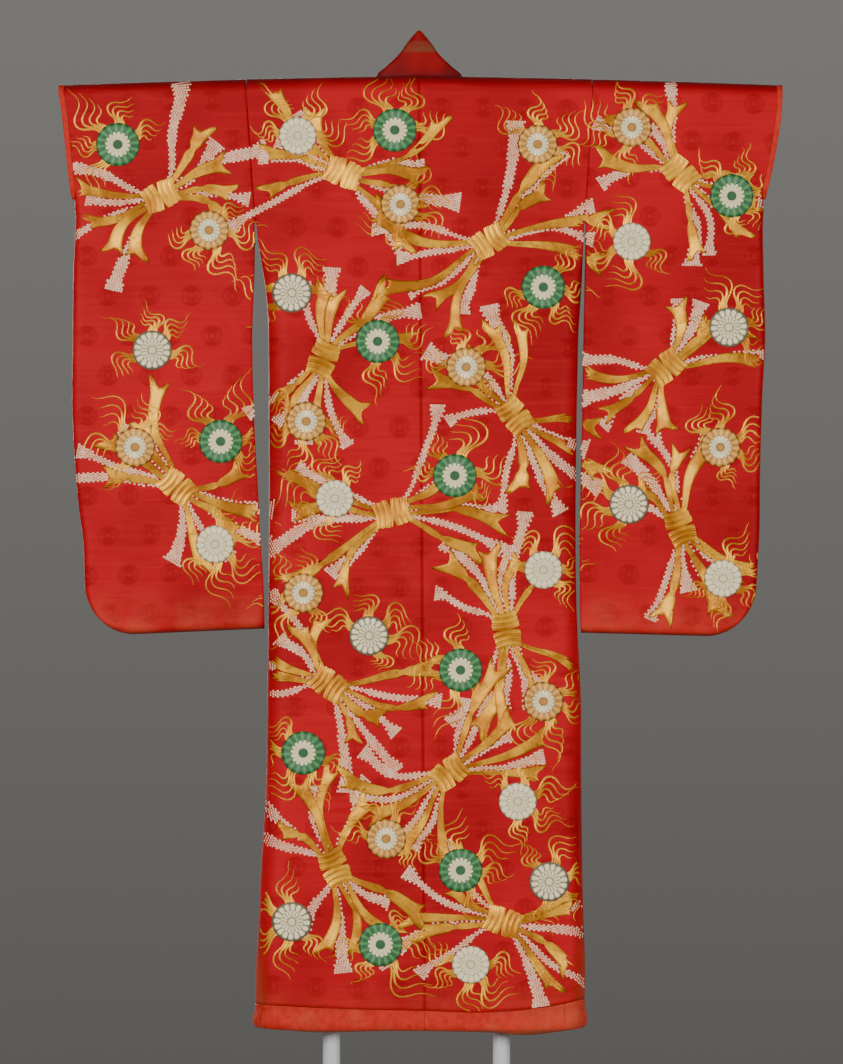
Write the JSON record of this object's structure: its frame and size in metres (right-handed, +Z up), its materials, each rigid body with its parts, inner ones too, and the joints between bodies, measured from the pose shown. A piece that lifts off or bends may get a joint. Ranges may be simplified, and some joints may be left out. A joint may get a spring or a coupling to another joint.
{
  "type": "uchikake wedding kimono on a display stand",
  "caption": "Long padded wedding over-robe with hanging sleeves, a standing collar and a rolled hem, hung flat from a crossbar on a plain two-post stand.",
  "frame": {"origin": "on the floor, under the middle of the part's box", "axes": "+Z up, -Y out of the robe's back, which faces the viewer, +X to the viewer's right"},
  "size_m": [1.268, 0.34, 1.8893],
  "materials": {
    "red_silk": "satin damask with a soft sheen",
    "lining_silk": "plain silk, slightly puckered",
    "gold_embroidery": "couched gold thread, worn in places",
    "green_embroidery": "satin stitch silk",
    "white_embroidery": "satin stitch silk",
    "spotted_silk": "small raised spots in rows",
    "stand_paint": "satin"
  },
  "bodies": {
    "root": {"body_left": "red_silk", "body_right": "red_silk", "overlap_left": "red_silk", "overlap_right": "red_silk", "collar": "red_silk", "sleeve_left_back": "red_silk", "sleeve_left_front": "red_silk", "sleeve_right_back": "red_silk", "sleeve_right_front": "red_silk", "cuff_lining_left": "lining_silk", "cuff_lining_right": "lining_silk", "hem_roll_back_left": "lining_silk", "hem_roll_back_right": "lining_silk", "hem_roll_front_left": "lining_silk", "hem_roll_front_right": "lining_silk", "hem_roll_overlap_left": "lining_silk", "hem_roll_overlap_right": "lining_silk", "crossbar": "stand_paint", "post_left": "stand_paint", "post_right": "stand_paint", "base_plate": "stand_paint"}
  },
  "joints": []
}
